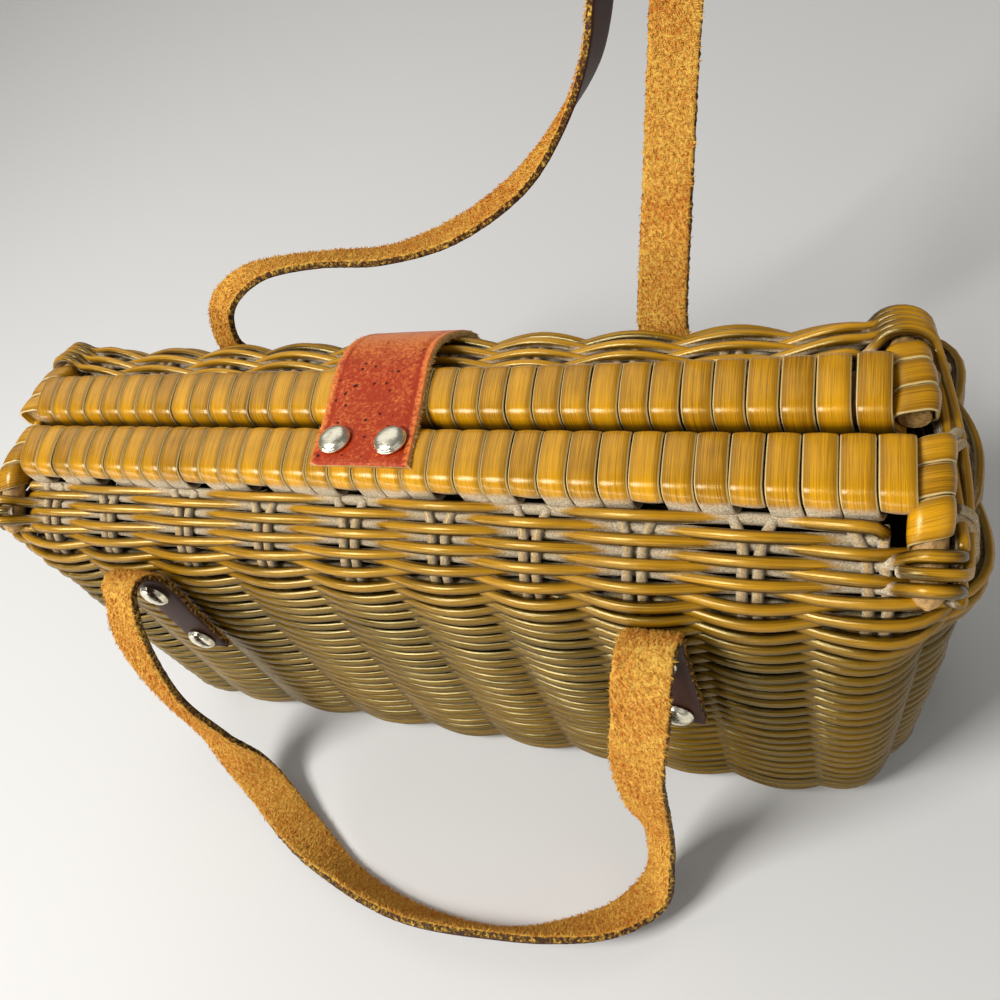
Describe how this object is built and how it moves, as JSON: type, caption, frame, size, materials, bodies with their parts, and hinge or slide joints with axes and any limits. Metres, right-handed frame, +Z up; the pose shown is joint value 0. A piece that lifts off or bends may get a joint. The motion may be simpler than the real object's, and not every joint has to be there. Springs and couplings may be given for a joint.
{
  "type": "wicker basket bag",
  "caption": "Woven wicker handbag with a gabled top, cane-wrapped rims held shut by a snapped leather flap, and riveted leather strap handles.",
  "frame": {"origin": "on the floor, under the middle of the gap between the rims and of the front rim's length", "axes": "+X along the rims to the right as seen from the front, +Y to the back, +Z up"},
  "size_m": [0.3034, 0.2546, 0.2291],
  "materials": {
    "wicker": "varnished round willow strands over paler stakes",
    "cane": "varnished flat cane",
    "flap_leather": "worn red-brown grain with pressed edge lines",
    "strap_leather": "rough tan flesh side and dark brown grain side",
    "snap_metal": "polished pale nickel"
  },
  "bodies": {
    "root": {"basket_body": "wicker", "front_rim": "cane", "back_rim": "cane", "front_left_side_bar": "cane", "front_right_side_bar": "cane", "back_left_side_bar": "cane", "back_right_side_bar": "cane", "closure_flap": "flap_leather", "snap_cap_left": "snap_metal", "snap_cap_right": "snap_metal", "flap_rivet_left": "snap_metal", "flap_rivet_right": "snap_metal", "front_handle": "strap_leather", "back_handle": "strap_leather", "front_left_rivet_lower": "snap_metal", "front_left_rivet_upper": "snap_metal", "front_right_rivet_lower": "snap_metal", "front_right_rivet_upper": "snap_metal", "back_left_rivet_lower": "snap_metal", "back_left_rivet_upper": "snap_metal", "back_right_rivet_lower": "snap_metal", "back_right_rivet_upper": "snap_metal"}
  },
  "joints": []
}
